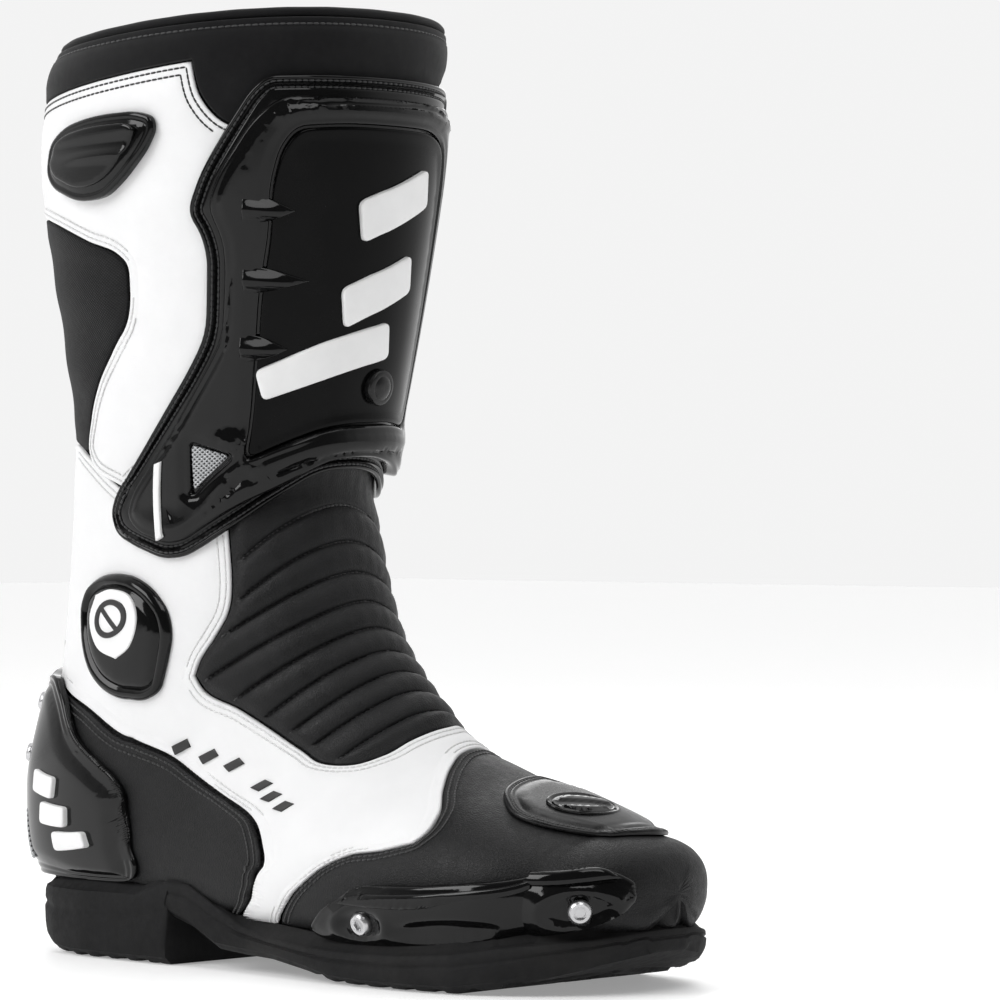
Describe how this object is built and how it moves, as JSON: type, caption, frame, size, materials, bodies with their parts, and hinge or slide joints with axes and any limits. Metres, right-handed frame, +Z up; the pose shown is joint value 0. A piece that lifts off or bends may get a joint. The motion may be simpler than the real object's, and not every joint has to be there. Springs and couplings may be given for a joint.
{
  "type": "motorcycle racing boot",
  "caption": "Tall armoured riding boot for the right foot, with a white and black upper, shin plate, ankle guard, heel cup, bellows over the ankle, side zip under a flap and a moulded sole.",
  "frame": {"origin": "middle of the boot's footprint box, on the ground plane under the tread", "axes": "+X points to the toe, +Y to the inner (medial) side of the right foot, +Z up the shaft"},
  "size_m": [0.2958, 0.1452, 0.338],
  "materials": {
    "tread_rubber": "moulded matt",
    "stainless_steel": "brushed",
    "fibre_board": "pressed fibre board",
    "foam": "cloth-faced foam",
    "lining_textile": "brushed knit",
    "black_stretch_fabric": "woven stretch",
    "black_leather": "fine-grained, semi-matt",
    "white_microfibre": "smooth coated",
    "black_suede": "napped microfibre",
    "collar_neoprene": "padded neoprene",
    "matte_black_plastic": "fine moulded texture",
    "gloss_black_plastic": "polished",
    "white_plastic": "polished",
    "grey_mesh": "fine perforated mesh",
    "zip_tape": "woven tape",
    "zip_metal": "dark coated"
  },
  "bodies": {
    "foot": {"outsole": "tread_rubber", "steel_shank": "stainless_steel", "lasting_board": "fibre_board", "insole": "foam", "foot_lining": "lining_textile", "toe_puff": "fibre_board", "heel_counter": "fibre_board", "ankle_foam": "foam", "vamp": "black_leather", "shift_pad": "matte_black_plastic", "toe_emblem": "white_plastic", "quarter_white": "white_microfibre", "heel_panel": "black_leather", "medial_quarter_front": "black_suede", "medial_quarter_rear": "black_suede", "accordion_front": "black_leather", "achilles_accordion": "black_leather", "heel_cup": "matte_black_plastic", "heel_badge": "white_plastic", "heel_screw_upper": "stainless_steel", "heel_screw_lower": "stainless_steel", "toe_slider": "matte_black_plastic", "toe_slider_strip": "gloss_black_plastic", "slider_screw_rear": "stainless_steel", "slider_screw_front": "stainless_steel", "ankle_guard": "matte_black_plastic", "ankle_guard_insert": "white_plastic", "ankle_guard_ring": "stainless_steel", "zip_lower": "zip_tape"},
    "shaft": {"shaft_lining": "lining_textile", "shin_foam": "foam", "zip_gusset": "lining_textile", "calf_panel_white": "white_microfibre", "calf_stretch_panel": "black_stretch_fabric", "shin_underlay": "black_stretch_fabric", "medial_shaft_front": "black_suede", "medial_shaft_rear": "black_suede", "collar": "collar_neoprene", "collar_binding": "black_leather", "calf_guard": "matte_black_plastic", "calf_guard_insert": "gloss_black_plastic", "shin_flange": "matte_black_plastic", "shin_shell": "matte_black_plastic", "shin_window": "gloss_black_plastic", "shin_grille": "grey_mesh", "shin_stripe": "white_plastic", "shin_badge_1": "white_plastic", "shin_badge_2": "white_plastic", "shin_rivet": "matte_black_plastic", "vent_mesh_1": "grey_mesh", "vent_mesh_2": "grey_mesh", "vent_mesh_3": "grey_mesh", "zip_tape_front": "zip_tape", "zip_tape_rear": "zip_tape", "zip_teeth": "zip_metal", "hook_strip": "zip_tape"},
    "zip_slider": {"zip_slider": "zip_metal"},
    "zip_puller": {"zip_puller": "zip_metal"},
    "storm_flap": {"storm_flap": "black_suede", "loop_strip": "zip_tape"}
  },
  "joints": [
    {"name": "ankle_flex", "type": "hinge", "parent": "foot", "child": "shaft", "pos_m": [-0.06807, 0, 0.115], "axis": [0, 1, 0], "range_deg": [-8, 15], "stiffness_Nm_per_rad": 25, "deforming": ["quarter_white", "medial_quarter_front", "medial_quarter_rear", "accordion_front", "achilles_accordion", "zip_lower"]},
    {"name": "zip_slide", "type": "slide", "parent": "shaft", "child": "zip_slider", "axis": [-0.0402, -0.1376, -0.9897], "range_m": [0, 0.118]},
    {"name": "zip_pull", "type": "hinge", "parent": "zip_slider", "child": "zip_puller", "pos_m": [-0.0652, 0.0676, 0.297], "axis": [1, 0, 0], "range_deg": [-2, 2]},
    {"name": "flap_open", "type": "hinge", "parent": "shaft", "child": "storm_flap", "pos_m": [-0.0425, 0.06326, 0.24867], "axis": [-0.0711, -0.1308, -0.9889], "range_deg": [0, 80]}
  ]
}
